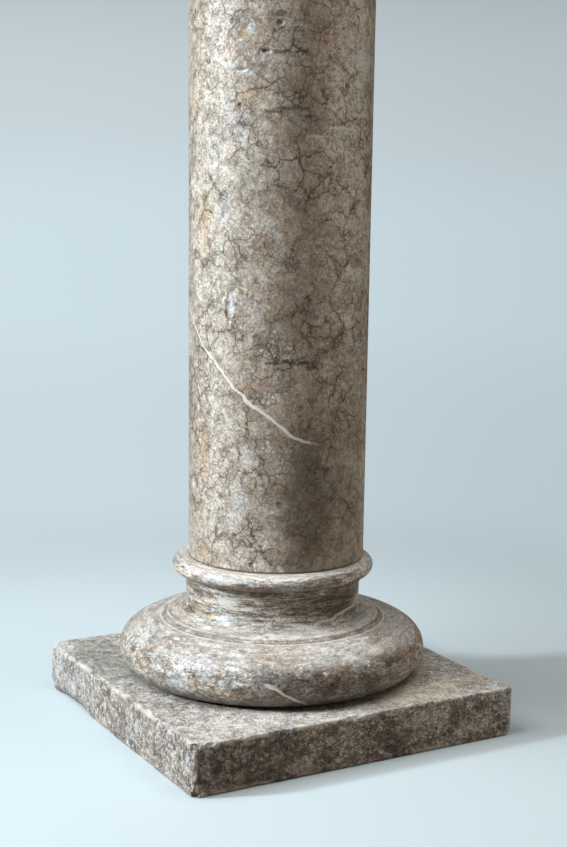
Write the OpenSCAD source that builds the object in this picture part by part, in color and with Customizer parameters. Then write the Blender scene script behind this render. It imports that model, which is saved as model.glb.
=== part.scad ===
// Marble column pedestal: a square plinth, a turned base, a smooth round shaft,
// a turned capital and a square abacus, each one piece of stone.
// Millimetres, +Z up, origin at the centre of the plinth's underside.

/* [Whole column] */
// Height from the floor to the top of the abacus
total_h = 1100; // [900:1:1200]

/* [Plinth] */
// Side of the square plinth
plinth_side = 300; // [280:1:340]
// Thickness of the plinth
plinth_h = 42.5; // [30:0.5:60]

/* [Base moulding] */
// Height of the whole base moulding
base_h = 99.8; // [96:0.1:110]
// Widest radius of the big torus
torus_r = 133; // [128:0.5:136]
// Radius of the torus's rounded outer edge
torus_edge_r = 20.8; // [19:0.1:21]
// Radius of the flatter arc over the crown of the torus
torus_crown_r = 59; // [55:1:63]
// Slope at which the outer edge runs into the crown, in degrees
torus_join_angle = 59; // [56:1:62]
// Radius of the lower fillet's top edge
fillet_r = 91.5; // [90:0.5:93]
// How far the lower fillet's sloping face spreads out to its foot
fillet_spread = 5.5; // [4:0.5:7]
// Height of the lower fillet's face
fillet_h = 4.4; // [4:0.1:5]
// Height of the lower fillet's top edge above the plinth
fillet_top = 50.4; // [50:0.1:52]
// Radius of the upright wall of the scotia
scotia_r = 75.3; // [74:0.1:76]
// Radius of the neck fillet under the astragal
neck_r = 76.5; // [76.5:0.1:80]
// Height of the neck fillet
neck_h = 7; // [4:0.5:10]
// Widest radius of the astragal
astragal_r = 87; // [86:0.5:90]
// Thickness of the astragal
astragal_h = 13.2; // [10:0.2:16]

/* [Shaft] */
// Radius of the shaft at its foot
shaft_foot_r = 76; // [70:0.5:78]
// Radius of the shaft at its head
shaft_head_r = 76; // [70:0.5:78]
// How far the shaft stands off the base's centre along X
shaft_off_x = 4.5; // [0:0.5:6]
// How far the shaft stands off the base's centre along Y
shaft_off_y = 2.5; // [0:0.5:6]

/* [Capital] */
// Widest radius of the ring at the capital's foot
collar_r = 84; // [81:0.5:90]
// Thickness of the ring at the capital's foot
collar_h = 11; // [8:0.5:16]
// Radius of the necking
necking_r = 76; // [70:0.5:76]
// Height of the necking
necking_h = 22; // [14:1:30]
// Radius of the fillet under the echinus
annulet_r = 80; // [78:0.5:84]
// Height of the fillet under the echinus
annulet_h = 5; // [3:0.5:8]
// Widest radius of the echinus
echinus_r = 108; // [104:1:112]

/* [Abacus] */
// Side of the square abacus
abacus_side = 240; // [230:1:280]
// Thickness of the abacus
abacus_h = 38; // [28:1:50]

/* [Wear] */
// Width of the worn strip along the slabs' arrises
arris = 1.6; // [0.6:0.1:3]

/* [Hidden] */
$fn = 96;
slab_colour = [0.62, 0.60, 0.57];
turned_colour = [0.66, 0.61, 0.56];
shaft_colour = [0.55, 0.49, 0.44];

// The echinus is a quarter round, as high as it is deep
echinus_h = echinus_r - annulet_r;
capital_h = collar_h + necking_h + annulet_h + echinus_h;

// Where each piece stands
base_z = plinth_h;
shaft_z = base_z + base_h;
abacus_z = total_h - abacus_h;
capital_z = abacus_z - capital_h;
shaft_h = capital_z - shaft_z;

// The torus's crown arc runs on smoothly from its outer edge
edge_cr = torus_r - torus_edge_r;
crown_back = torus_crown_r - torus_edge_r;
crown_cr = edge_cr - crown_back * cos(torus_join_angle);
crown_cz = torus_edge_r - crown_back * sin(torus_join_angle);
crown_end_r = edge_cr + torus_edge_r * cos(torus_join_angle);

// The scotia bends out to the lower fillet on a quarter circle
bend_r = fillet_r - scotia_r;
neck_z = base_h - astragal_h - neck_h;

// Pieces broken out of the slabs' arrises, each a skewed block cut away at
// [part of the half side along X, along Y, part of the height, size, turn]
plinth_bites = [
    [-1, -1, 1, 10, 45],
    [-0.72, -1, 1, 5, 90],
    [1, -1, 0, 11, 135],
    [-1, 0.35, 0, 6, 0],
    [1, 1, 1, 8, 45],
    [0.3, 1, 1, 6, 90],
    [-1, 1, 1, 7, 135],
    [-1, 1, 0, 8, 135],
];
abacus_bites = [
    [1, -1, 1, 7, 135],
    [-1, -0.4, 1, 5, 0],
    [-1, 1, 0, 6, 135],
];
bite_length = 2;
bite_depth = 0.7;
bite_skew = [32, 0, 24];

// A square slab standing on z = 0, with worn arrises and broken bites
module slab(side, thick, bites) {
    half = side / 2;
    reach = 1.1;
    difference() {
        translate([-half, -half, 0]) cube([side, side, thick]);
        for (turn = [0 : 90 : 270])
            rotate(turn) {
                for (level = [0, thick])
                    translate([half, 0, level])
                        rotate([0, 45, 0])
                            cube([arris, side * reach, arris], center = true);
                translate([half, half, thick / 2])
                    rotate(45)
                        cube([arris, arris, thick * reach], center = true);
            }
        for (bite = bites)
            translate([bite[0] * half, bite[1] * half, bite[2] * thick])
                rotate(bite[4])
                    rotate(bite_skew)
                        scale(bite[3])
                            cube([bite_depth, bite_length, bite_depth], center = true);
    }
}

// The big torus: a round outer edge that runs into a flatter crown
module torus_outline() {
    translate([edge_cr, torus_edge_r]) circle(torus_edge_r);
    intersection() {
        translate([crown_cr, crown_cz]) circle(torus_crown_r);
        square([crown_end_r, base_h]);
    }
    square([edge_cr, torus_edge_r]);
}

// The lower fillet: a narrow face that slopes out to the torus
module fillet_outline() {
    polygon([
        [0, 0],
        [fillet_r + fillet_spread, 0],
        [fillet_r + fillet_spread, fillet_top - fillet_h],
        [fillet_r, fillet_top],
        [0, fillet_top],
    ]);
}

// The scotia, which rises from the lower fillet to the neck
module scotia_outline() {
    difference() {
        square([fillet_r, neck_z]);
        translate([fillet_r, fillet_top + bend_r]) circle(bend_r);
        translate([scotia_r, fillet_top + bend_r]) square([fillet_r, base_h]);
    }
}

// A ring with a half-round edge, its widest point at radius r
module ring_outline(r, thick) {
    translate([r - thick / 2, thick / 2]) circle(thick / 2);
    square([r - thick / 2, thick]);
}

// The echinus: a quarter round that swells from the annulet to the abacus
module echinus_outline() {
    square([annulet_r, echinus_h]);
    intersection() {
        translate([annulet_r, echinus_h]) circle(echinus_h);
        square([echinus_r, echinus_h]);
    }
}

module plinth() {
    color(slab_colour) slab(plinth_side, plinth_h, plinth_bites);
}

module base_moulding() {
    color(turned_colour)
        translate([0, 0, base_z])
            rotate_extrude() {
                torus_outline();
                fillet_outline();
                scotia_outline();
                translate([0, neck_z]) square([neck_r, neck_h]);
                translate([0, base_h - astragal_h]) ring_outline(astragal_r, astragal_h);
            }
}

module shaft() {
    color(shaft_colour)
        translate([shaft_off_x, shaft_off_y, shaft_z])
            cylinder(h = shaft_h, r1 = shaft_foot_r, r2 = shaft_head_r);
}

module capital() {
    color(turned_colour)
        translate([shaft_off_x, shaft_off_y, capital_z])
            rotate_extrude() {
                ring_outline(collar_r, collar_h);
                square([necking_r, collar_h + necking_h]);
                translate([0, collar_h + necking_h]) square([annulet_r, annulet_h]);
                translate([0, capital_h - echinus_h]) echinus_outline();
            }
}

module abacus() {
    color(slab_colour)
        translate([shaft_off_x, shaft_off_y, abacus_z])
            slab(abacus_side, abacus_h, abacus_bites);
}

plinth();
base_moulding();
shaft();
capital();
abacus();
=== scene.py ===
import math

import bmesh
import bpy
from mathutils import Matrix, Vector, noise


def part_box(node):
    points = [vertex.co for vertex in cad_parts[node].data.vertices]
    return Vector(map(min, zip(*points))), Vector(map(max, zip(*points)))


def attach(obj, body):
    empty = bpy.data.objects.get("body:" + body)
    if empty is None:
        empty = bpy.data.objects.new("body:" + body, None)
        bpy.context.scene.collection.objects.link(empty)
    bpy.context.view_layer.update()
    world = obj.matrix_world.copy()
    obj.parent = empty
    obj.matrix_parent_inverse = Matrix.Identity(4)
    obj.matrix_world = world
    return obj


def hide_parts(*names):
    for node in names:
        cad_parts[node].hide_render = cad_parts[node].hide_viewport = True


bl_info = {
    "name": "Marble Column",
    "version": (1, 0, 0),
    "blender": (4, 5, 0),
    "location": "View3D > Sidebar > Column",
    "description": "Builds a polished marble column on a square plinth, with its floor and lights",
    "category": "Object",
}

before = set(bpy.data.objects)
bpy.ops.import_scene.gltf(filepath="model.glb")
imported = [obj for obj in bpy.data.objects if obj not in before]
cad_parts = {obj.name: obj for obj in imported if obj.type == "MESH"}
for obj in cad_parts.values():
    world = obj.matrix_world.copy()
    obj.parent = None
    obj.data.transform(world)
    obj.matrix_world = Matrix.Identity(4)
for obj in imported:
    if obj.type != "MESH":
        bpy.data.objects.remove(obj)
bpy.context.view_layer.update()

BODY = "root"
UP = Vector((0, 0, 1))
ORIGIN = (0, 0, 0)

# How far apart an outline's points are, in metres
DISC_STEP = 0.02
CURVE_STEP = 0.002
BEAD_STEP = 0.0012
SHARP = math.radians(32)

CAMERA_AT = (-0.6148, -1.0999, 0.4471)


def half_width(node):
    """Half the width of a CAD piece, the radius of a turned one."""
    low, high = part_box(node)
    return (high.x - low.x) / 2


def foot(node):
    """The height at which a CAD piece stands."""
    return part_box(node)[0].z


def top(node):
    """The height of a CAD piece's top."""
    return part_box(node)[1].z


def axis_of(node):
    """The point on the floor under the middle of a CAD piece."""
    low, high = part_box(node)
    centre = (low + high) / 2
    return Vector((centre.x, centre.y, 0))


# ---- Settings ----


def length(name, description, default):
    return bpy.props.FloatProperty(
        name=name, description=description, default=default, unit="LENGTH", precision=4
    )


def angle(name, description, degrees):
    return bpy.props.FloatProperty(
        name=name, description=description, default=math.radians(degrees), subtype="ANGLE"
    )


def share(name, description, default):
    return bpy.props.FloatProperty(
        name=name, description=description, default=default, min=0, max=1, subtype="FACTOR"
    )


def colour(name, description, default):
    return bpy.props.FloatVectorProperty(
        name=name, description=description, default=default, size=3, min=0, max=1, subtype="COLOR"
    )


def power(name, description, default):
    return bpy.props.FloatProperty(
        name=name, description=description, default=default, min=0, unit="POWER"
    )


def count(name, description, default):
    return bpy.props.IntProperty(name=name, description=description, default=default, min=3)


class ColumnBaseSettings(bpy.types.PropertyGroup):
    """Sizes of the turned base moulding."""

    torus_r: length("Torus Radius", "Widest radius of the big torus", half_width("base_moulding"))
    torus_edge_r: length("Torus Edge", "Radius of the torus's rounded outer edge", 0.0208)
    torus_crown_r: length("Torus Crown", "Radius of the flatter arc over the torus", 0.059)
    torus_join: angle("Torus Join", "Slope at which the edge runs into the crown", 59)
    fillet_foot_r: length("Fillet Foot", "Radius where the fillet meets the torus", 0.0958)
    fillet_r: length("Fillet Radius", "Radius of the lower fillet's top edge", 0.0915)
    fillet_top: length("Fillet Top", "Height of the lower fillet above the plinth", 0.0504)
    scotia_r: length("Scotia Radius", "Radius of the scotia's upright wall", 0.0753)
    neck_r: length("Neck Radius", "Radius of the neck fillet under the astragal", 0.0765)
    neck_h: length("Neck Height", "Height of the neck fillet", 0.007)
    astragal_r: length("Astragal Radius", "Widest radius of the astragal", 0.087)
    astragal_h: length("Astragal Height", "Thickness of the astragal", 0.0132)


class ColumnShaftSettings(bpy.types.PropertyGroup):
    """Sizes of the shaft."""

    radius: length("Shaft Radius", "Radius of the shaft", half_width("shaft"))
    edge: length("Shaft Edge", "Width of the worn edge at the shaft's foot and head", 0.0007)
    row: length("Row Height", "Height of one row of faces", 0.003)
    segments: count("Segments", "Faces round the shaft", 180)


class ColumnCapitalSettings(bpy.types.PropertyGroup):
    """Sizes of the turned capital."""

    collar_r: length("Ring Radius", "Widest radius of the ring at the capital's foot", 0.084)
    collar_h: length("Ring Height", "Thickness of the ring at the capital's foot", 0.011)
    necking_r: length("Necking Radius", "Radius of the necking", 0.076)
    necking_h: length("Necking Height", "Height of the necking", 0.022)
    annulet_r: length("Annulet Radius", "Radius of the fillet under the echinus", 0.080)
    annulet_h: length("Annulet Height", "Height of the fillet under the echinus", 0.005)


class ColumnWearSettings(bpy.types.PropertyGroup):
    """Wear and fine relief of the stone."""

    arris: length("Arris Rounding", "Radius of the slabs' worn arrises", 0.0016)
    nibble: length("Arris Nibbling", "Deepest small break along the slabs' arrises", 0.0026)
    ripple: length("Ripple", "Depth of the slow ripple left by hand polishing", 0.00025)
    turned_edge: length("Turned Edge", "Width of the worn edges of the turned pieces", 0.0004)
    segments: count("Segments", "Faces round each turned piece", 288)


class ColumnColourSettings(bpy.types.PropertyGroup):
    """Colours of the three marbles and of the floor."""

    shaft_pale: colour("Shaft Pale", "Pale beige clouds of the shaft", (0.85, 0.81, 0.73))
    shaft_taupe: colour("Shaft Taupe", "Main colour of the shaft", (0.62, 0.555, 0.47))
    shaft_brown: colour("Shaft Brown", "Brown clouds of the shaft", (0.34, 0.26, 0.19))
    vein_dark: colour("Dark Vein", "Crackle veins", (0.085, 0.065, 0.05))
    calcite: colour("Calcite", "White veins", (0.95, 0.93, 0.88))
    quartz: colour("Quartz", "Bluish white patches", (0.75, 0.81, 0.89))
    pink: colour("Pink", "Pinkish brown clouds", (0.50, 0.32, 0.24))
    grey_green: colour("Grey Green", "Greenish grey clouds", (0.35, 0.37, 0.32))
    turned_pale: colour("Base Pale", "Cream wisps of the base", (0.91, 0.87, 0.79))
    turned_grey: colour("Base Grey", "Grey body of the base", (0.47, 0.44, 0.39))
    turned_brown: colour("Base Brown", "Brown clouds of the base", (0.19, 0.135, 0.095))
    slab_pale: colour("Slab Pale", "Pale flecks of the slabs", (0.85, 0.82, 0.77))
    slab_grey: colour("Slab Grey", "Grey body of the slabs", (0.46, 0.43, 0.39))
    slab_dark: colour("Slab Dark", "Dark mottling of the slabs", (0.12, 0.10, 0.08))
    worn_edge: colour("Worn Edge", "Pale bruised stone along the arrises", (0.84, 0.80, 0.73))
    # Dust colour, also used as painted top light on the upward faces.
    dust_and_top_light: colour("Dust and top light", "Pale dust on the ledges", (0.84, 0.81, 0.75))
    # Brown grime, also used as painted shade under ledges, in recesses and where parts meet.
    grime_and_shade: colour("Grime", "Brown stain beneath the ledges and in the joints", (0.12, 0.09, 0.065))
    ochre: colour("Ochre", "Rust and earth stains", (0.60, 0.40, 0.15))
    tan: colour("Tan", "Tan wash on the plinth's top", (0.80, 0.68, 0.49))
    whitest: colour("Whitest", "No part of the stones is paler", (0.93, 0.92, 0.89))
    floor: colour("Floor", "The pale floor", (0.62, 0.72, 0.76))
    floor_bounce: colour("Floor Bounce", "The floor as the stone sees it", (0.33, 0.29, 0.24))
    floor_outer: colour("Outer Floor", "The floor farther from the column", (0.59, 0.69, 0.73))
    floor_near: colour("Near Floor", "The lit floor beside the column", (0.68, 0.81, 0.87))
    floor_band: colour("Floor Band", "The floor a little behind the column", (0.55, 0.66, 0.71))
    floor_far: colour("Far Floor", "The floor farther behind", (0.585, 0.70, 0.75))
    wall_low: colour("Low Wall", "The foot of the background", (0.62, 0.745, 0.80))
    wall_high: colour("High Wall", "The middle of the background", (0.56, 0.64, 0.68))
    wall_top: colour("Wall Top", "The top of the background", (0.42, 0.495, 0.53))
    dim_side: colour("Dim Side", "How the background darkens to the right", (0.835, 0.83, 0.83))


class ColumnStageSettings(bpy.types.PropertyGroup):
    """The camera, and how strongly the lights shine."""

    lens: bpy.props.FloatProperty(
        name="Lens", description="Focal length of the camera", default=63.3, unit="CAMERA"
    )
    yaw: angle("Yaw", "Turn of the camera from +Y towards +X", 29.6)
    pitch: angle("Pitch", "How far the camera looks down", 11.53)
    roll: angle("Roll", "Tilt of the camera about its own axis", 0.72)
    rise: share("Shift", "Share of the long side by which the view is shifted up", 0.0903)
    key: power("Key", "Light on the left", 46)
    sky_left: power("Left Sky", "Broad light high on the left", 40)
    sky_right: power("Right Sky", "Soft light high on the right", 15)
    fill: power("Fill", "Weak light low on the right", 3)
    back: power("Back", "Weak light behind", 2)
    ambient: share("Ambient", "Strength of the even light from all round", 0.01)


# ---- Modelling ----


class Outline:
    """An outline in the X-Z plane, drawn from point to point and turned about the upright axis."""

    def __init__(self, r, z):
        self.bm = bmesh.new()
        self.last = bmesh.ops.create_vert(self.bm, co=(r, 0, z))["vert"][0]

    def line(self, r, z, step=None):
        """Runs straight on to (r, z), with points about a step apart."""
        start = self.last.co.copy()
        end = Vector((r, 0, z))
        parts = max(1, round((end - start).length / step)) if step else 1
        for i in range(parts):
            self.last = bmesh.ops.extrude_vert_indiv(self.bm, verts=[self.last])["verts"][0]
            self.last.co = start.lerp(end, (i + 1) / parts)

    def arc(self, r, z, turn, step):
        """Runs on round the centre (r, z), anticlockwise for a positive turn."""
        centre = Vector((r, 0, z))
        steps = max(3, round((self.last.co - centre).length * abs(turn) / step))
        made = self.spin([self.last], centre, (0, -1, 0), turn, steps, False)
        self.last = next(v for v in made["geom_last"] if isinstance(v, bmesh.types.BMVert))

    def spin(self, geom, centre, axis, turn, steps, merge):
        """Turns part of the outline about an axis, and keeps what it sweeps over."""
        return bmesh.ops.spin(
            self.bm, geom=geom, cent=centre, axis=axis, angle=turn, steps=steps, use_merge=merge
        )

    def close(self, segments, merge_at=1e-6):
        """Turns the whole outline about the upright axis into a closed surface."""
        bm = self.bm
        self.spin(bm.verts[:] + bm.edges[:], ORIGIN, UP, math.tau, segments, True)
        bmesh.ops.remove_doubles(bm, verts=bm.verts, dist=merge_at)
        bmesh.ops.recalc_face_normals(bm, faces=bm.faces)
        return bm

    def turn(self, axis, segments, edge):
        """Turns the outline into a solid that stands at its axis, with softened edges."""
        bm = self.close(segments)
        sharp = [e for e in bm.edges if e.is_manifold and e.calc_face_angle() > SHARP]
        bmesh.ops.bevel(
            bm,
            geom=sharp,
            offset=edge,
            offset_type="OFFSET",
            segments=2,
            profile=0.5,
            affect="EDGES",
            material=-1,
        )
        bmesh.ops.translate(bm, verts=bm.verts, vec=axis)
        return bm


def refine(bm, centre, reach, cuts):
    """Cuts the faces round a point finer, so that a small break has a shape of its own."""
    near = {f for f in bm.faces if (f.calc_center_median() - centre).length < reach}
    edges = [e for e in bm.edges if not near.isdisjoint(e.link_faces)]
    bmesh.ops.subdivide_edges(bm, edges=edges, cuts=cuts, use_grid_fill=True)


def scoop(bm, place, outward, width, depth):
    """Breaks a shell-shaped flake, width across and depth deep, out of the stone at a place."""
    if width < 0.02:
        refine(bm, place, width * 0.75, 2)
    radius = (width * width / 4 + depth * depth) / (2 * depth)
    centre = place + outward.normalized() * (radius - depth)
    grain = 420
    unevenness = 0.15 * depth / radius
    for v in bm.verts:
        away = v.co - centre
        rough = 1 + unevenness * (noise.noise(v.co * grain) + 0.6 * noise.noise(v.co * grain * 2.7))
        if away.length < radius * rough:
            v.co = centre + away.normalized() * radius * rough


def pit(bm, place, outward, width, height, depth):
    """Sinks an oval pit into an upright face."""
    side = UP.cross(outward).normalized()
    refine(bm, place, max(width, height) * 0.8, 3)
    grain = 600
    for v in bm.verts:
        off = v.co - place
        if off.length > 2 * max(width, height):
            continue
        across = off.dot(side) / (width / 2)
        along = off.dot(UP) / (height / 2)
        ragged = 1 + 0.35 * noise.noise(v.co * grain)
        inside = 1 - (across * across + along * along) * ragged
        if inside > 0:
            v.co -= outward * depth * math.sqrt(inside)


def ripple(bm, depth, scale):
    """Sinks the surface by a slow, shallow ripple, never outwards."""
    bm.normal_update()
    sunk = [(v, v.normal.copy()) for v in bm.verts]
    for v, normal in sunk:
        wave = 0.5 + 0.5 * noise.noise(v.co * scale)
        v.co -= normal * depth * wave


def smooth_mesh(name, bm, material):
    """Puts a bmesh into the scene as one smooth object with its material."""
    for face in bm.faces:
        face.smooth = True
    mesh = bpy.data.meshes.new(name)
    bm.to_mesh(mesh)
    bm.free()
    mesh.materials.append(material)
    made = bpy.data.objects.new(name, mesh)
    bpy.context.scene.collection.objects.link(made)
    return made


def finish_piece(name, bm, material):
    """Makes the mesh one smooth piece of stone that rides on the column."""
    bmesh.ops.remove_doubles(bm, verts=bm.verts, dist=1e-6)
    bmesh.ops.recalc_face_normals(bm, faces=bm.faces)
    piece = smooth_mesh(name, bm, material)
    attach(piece, BODY)
    return piece


def spread(share_along, crowding):
    """Moves evenly spaced places from -1 to 1 closer together towards both ends."""
    return (1 - crowding) * share_along + crowding * math.sin(share_along * math.pi / 2)


def slab_blank(half, low, high, lines, levels):
    """A solid square block whose faces are finest along its arrises."""
    bm = bmesh.new()
    bmesh.ops.create_grid(bm, x_segments=lines, y_segments=lines, size=half)
    crowding = 0.8
    for v in bm.verts:
        v.co.x = half * spread(v.co.x / half, crowding)
        v.co.y = half * spread(v.co.y / half, crowding)
        v.co.z = low
    made = bmesh.ops.extrude_face_region(bm, geom=bm.faces[:], use_keep_orig=True)
    lifted = [g for g in made["geom"] if isinstance(g, bmesh.types.BMVert)]
    bmesh.ops.translate(bm, verts=lifted, vec=(0, 0, high - low))
    upright = [e for e in bm.edges if abs(e.verts[0].co.z - e.verts[1].co.z) > (high - low) / 2]
    bmesh.ops.subdivide_edges(bm, edges=upright, cuts=levels, use_grid_fill=True)
    centre = (low + high) / 2
    half_height = (high - low) / 2
    for v in bm.verts:
        v.co.z = centre + half_height * spread((v.co.z - centre) / half_height, crowding)
    bmesh.ops.recalc_face_normals(bm, faces=bm.faces)
    return bm


def wear_arrises(bm, low, high, rounding, nibble):
    """Rounds a block's arrises by an uneven radius, with small breaks here and there."""
    for v in bm.verts:
        uneven = 0.5 + 0.5 * noise.noise(v.co * 45)
        broken = max(0, noise.noise(v.co * 110 + Vector((7, 3, 1))) - 0.12)
        gnawed = max(0, noise.noise(v.co * 260 + Vector((2, 5, 9))) - 0.1)
        radius = rounding * (0.5 + uneven) + nibble * (broken * 2.5 + gnawed * 1.5)
        inset = Vector((radius, radius, radius))
        nearest = Vector(
            min(max(v.co[i], low[i] + inset[i]), high[i] - inset[i]) for i in range(3)
        )
        away = v.co - nearest
        if away.length > radius:
            v.co = nearest + away.normalized() * radius


def worn_slab(node, lines, levels, chips, wear):
    """A square slab with worn arrises; chips are (part of half side X, Y, of height, width, depth)."""
    half = half_width(node)
    axis = axis_of(node)
    low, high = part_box(node)
    bm = slab_blank(half, low.z, high.z, lines, levels)
    bmesh.ops.translate(bm, verts=bm.verts, vec=axis)
    wear_arrises(bm, low, high, wear.arris, wear.nibble)
    ripple(bm, wear.ripple, 60)
    for part_x, part_y, level, width, depth in chips:
        place = Vector((axis.x + part_x * half, axis.y + part_y * half, low.z + level * (high.z - low.z)))
        outward_x = part_x if abs(part_x) == 1 else 0
        outward_y = part_y if abs(part_y) == 1 else 0
        outward_z = {0: -0.8, 1: 0.8}.get(level, 0)
        scoop(bm, place, Vector((outward_x, outward_y, outward_z)), width, depth)
    return bm


# ---- Shader helpers ----


class Wire:
    """What a shader node's socket gives, which can be added, subtracted, multiplied and divided."""

    def __init__(self, socket):
        self.socket = socket
        self.tree = socket.id_data

    def __add__(self, other):
        return maths("ADD", self, other)

    def __sub__(self, other):
        return maths("SUBTRACT", self, other)

    def __mul__(self, other):
        return maths("MULTIPLY", self, other)

    def __truediv__(self, other):
        return maths("DIVIDE", self, other)


def fill(socket, value):
    """Links a wire to a socket, or gives the socket a plain value."""
    if isinstance(value, Wire):
        value.tree.links.new(value.socket, socket)
    elif socket.type == "RGBA":
        socket.default_value = (*value, 1)
    else:
        socket.default_value = value


def node(kind, output, inputs, tree=None, **settings):
    """Adds a shader node, sets it up, fills its inputs by place or name, and returns an output."""
    if tree is None:
        tree = next(value.tree for value in inputs.values() if isinstance(value, Wire))
    made = tree.nodes.new("ShaderNode" + kind)
    for name, value in settings.items():
        setattr(made, name, value)
    for name, value in inputs.items():
        fill(made.inputs[name], value)
    return Wire(made.outputs[output])


def maths(operation, a, b=0):
    """What a Math node works out."""
    return node("Math", 0, {0: a, 1: b}, operation=operation)


def vector_maths(operation, a, b=ORIGIN, output="Vector"):
    """What a Vector Math node works out from two vectors, or from a vector and a scale."""
    second = "Scale" if operation == "SCALE" else 1
    return node("VectorMath", output, {0: a, second: b}, operation=operation)


def length_of(vector):
    """The length of a vector."""
    return vector_maths("LENGTH", vector, output="Value")


def parts_of(vector):
    """The X, Y and Z of a vector."""
    split = node("SeparateXYZ", 0, {0: vector}).socket.node
    return [Wire(part) for part in split.outputs]


def vector_from(**parts):
    """A vector put together from its X, Y and Z."""
    return node("CombineXYZ", 0, parts)


def ramp(value, low, high, start=0, end=1):
    """Runs smoothly from start to end as the value goes from low to high."""
    inputs = dict(enumerate((value, low, high, start, end)))
    return node("MapRange", 0, inputs, interpolation_type="SMOOTHSTEP")


def blend(amount, a, b, kind="MIX"):
    """A colour mixed from a and b."""
    return node("Mix", 2, {0: amount, 6: a, 7: b}, data_type="RGBA", blend_type=kind)


def noise_value(vector, scale, detail, roughness=0.55, distortion=0):
    """A noise texture's value."""
    inputs = dict(Vector=vector, Scale=scale, Detail=detail, Roughness=roughness, Distortion=distortion)
    return node("TexNoise", "Fac", inputs)


def shaken(vector, scale, reach):
    """Coordinates pushed about by a noise of their own, up to about half of reach."""
    shake = node("TexNoise", "Color", dict(Vector=vector, Scale=scale, Detail=4, Roughness=0.6))
    centred = vector_maths("SUBTRACT", shake, (0.5, 0.5, 0.5))
    return vector_maths("ADD", vector, vector_maths("SCALE", centred, reach))


def new_group(name, outputs, **inputs):
    """An empty node group: the wires that it is given, and the sockets for its results."""
    tree = bpy.data.node_groups.new(name, "ShaderNodeTree")
    for label, default in inputs.items():
        kind = "NodeSocketVector" if isinstance(default, tuple) else "NodeSocketFloat"
        tree.interface.new_socket(label, in_out="INPUT", socket_type=kind).default_value = default
    for label in outputs:
        tree.interface.new_socket(label, in_out="OUTPUT", socket_type="NodeSocketFloat")
    start = tree.nodes.new("NodeGroupInput").outputs
    return [Wire(start[label]) for label in inputs], tree.nodes.new("NodeGroupOutput").inputs


def effect(name, output, **inputs):
    """Places a node group in the tree of its inputs and returns one of its outputs."""
    return node("Group", output, inputs, node_tree=bpy.data.node_groups[name])


# ---- Marble effects ----


def in_places(vector, scale, gaps):
    """1 where a broken pattern shows, and 0 in its gaps."""
    return ramp(noise_value(vector, scale, 3), gaps, gaps + 0.12)


def uneven_line(distance, width, rough, core):
    """A line whose width follows a roughness: 1 in its core, a share of the width, 0 beside it."""
    wide = width * (rough * 2)
    return ramp(distance, wide * core, wide, 1, 0)


def build_wisps():
    """Wisps of colour, drawn out sideways and bent as if they had flowed: 1 inside, 0 outside."""
    (vector, scale, stretch, bend, low, high), result = new_group(
        "Wisps", ["Mask"], Vector=ORIGIN, Scale=30, Stretch=1, Bend=0.5, Low=0.4, High=0.6
    )
    moved = shaken(vector, scale * 0.55, bend * 4 / scale)
    flow = vector_maths("MULTIPLY", moved, vector_from(X=1, Y=1, Z=stretch))
    fill(result["Mask"], ramp(noise_value(flow, scale, 6, 0.62), low, high))


def build_mottle():
    """Fine, sharp mottling: a factor from Dark to Light by which a colour is multiplied."""
    (vector, scale, low, high, dark, light), result = new_group(
        "Mottle", ["Factor"], Vector=ORIGIN, Scale=250, Low=0.34, High=0.66, Dark=0.6, Light=1.3
    )
    fill(result["Factor"], ramp(noise_value(vector, scale, 5, 0.72, 0.9), low, high, dark, light))


def build_crackle():
    """Angular clasts: a broken net of Seam lines, soft Halo beside them, a Tone for each clast."""
    (vector, cell, width, wander, gaps), result = new_group(
        "Crackle", ["Seam", "Halo", "Tone"], Vector=ORIGIN, Cell=0.015, Width=0.04, Wander=0.006, Gaps=0.45
    )
    scale = maths("DIVIDE", 1, cell)
    cells = {"Vector": shaken(vector, scale * 1.7, wander), "Scale": scale}
    distance = node("TexVoronoi", "Distance", cells, feature="DISTANCE_TO_EDGE")
    present = in_places(vector, scale * 0.6, gaps)
    fill(result["Seam"], ramp(distance, 0, width, 1, 0) * present)
    fill(result["Halo"], ramp(distance, 0, width * 5, 1, 0) * present)
    fill(result["Tone"], parts_of(node("TexVoronoi", "Color", cells))[0])


def build_threads():
    """Wandering threads, present in places: 1 on a thread, 0 beside it."""
    (vector, scale, width, warp, gaps), result = new_group(
        "Threads", ["Mask"], Vector=ORIGIN, Scale=30, Width=0.02, Warp=1, Gaps=0.3
    )
    ridge = maths("ABSOLUTE", noise_value(vector, scale, 5, 0.6, warp) - 0.5)
    fill(result["Mask"], ramp(ridge, 0, width, 1, 0) * in_places(vector, scale * 0.7, gaps))


def build_patch():
    """One ragged oval patch at a place: 1 inside, 0 outside."""
    (vector, centre, size, ragged, grain), result = new_group(
        "Patch", ["Mask"], Vector=ORIGIN, Centre=ORIGIN, Size=(0.01, 0.01, 0.01), Ragged=0.6, Grain=150
    )
    away = length_of(vector_maths("DIVIDE", vector_maths("SUBTRACT", vector, centre), size))
    pushed = (noise_value(vector, grain, 4, 0.65) - 0.5) * ragged
    fill(result["Mask"], ramp(away + pushed * 4, 0.35, 1.15, 1, 0))


def build_sheet_vein():
    """The vein that a wavy sheet leaves where it meets the surface: 1 on the vein."""
    (vector, normal, offset, width, wander, scale), result = new_group(
        "Sheet vein",
        ["Mask"],
        Vector=ORIGIN,
        Normal=(0, 0, 1),
        Offset=0.2,
        Width=0.0015,
        Wander=0.016,
        Scale=22,
    )
    along = vector_maths("DOT_PRODUCT", vector, normal, "Value")
    shift = (noise_value(vector, scale, 4) - 0.5) * wander
    distance = maths("ABSOLUTE", along - offset + shift)
    fill(result["Mask"], uneven_line(distance, width, noise_value(vector, scale * 6, 3), 0.45))


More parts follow.
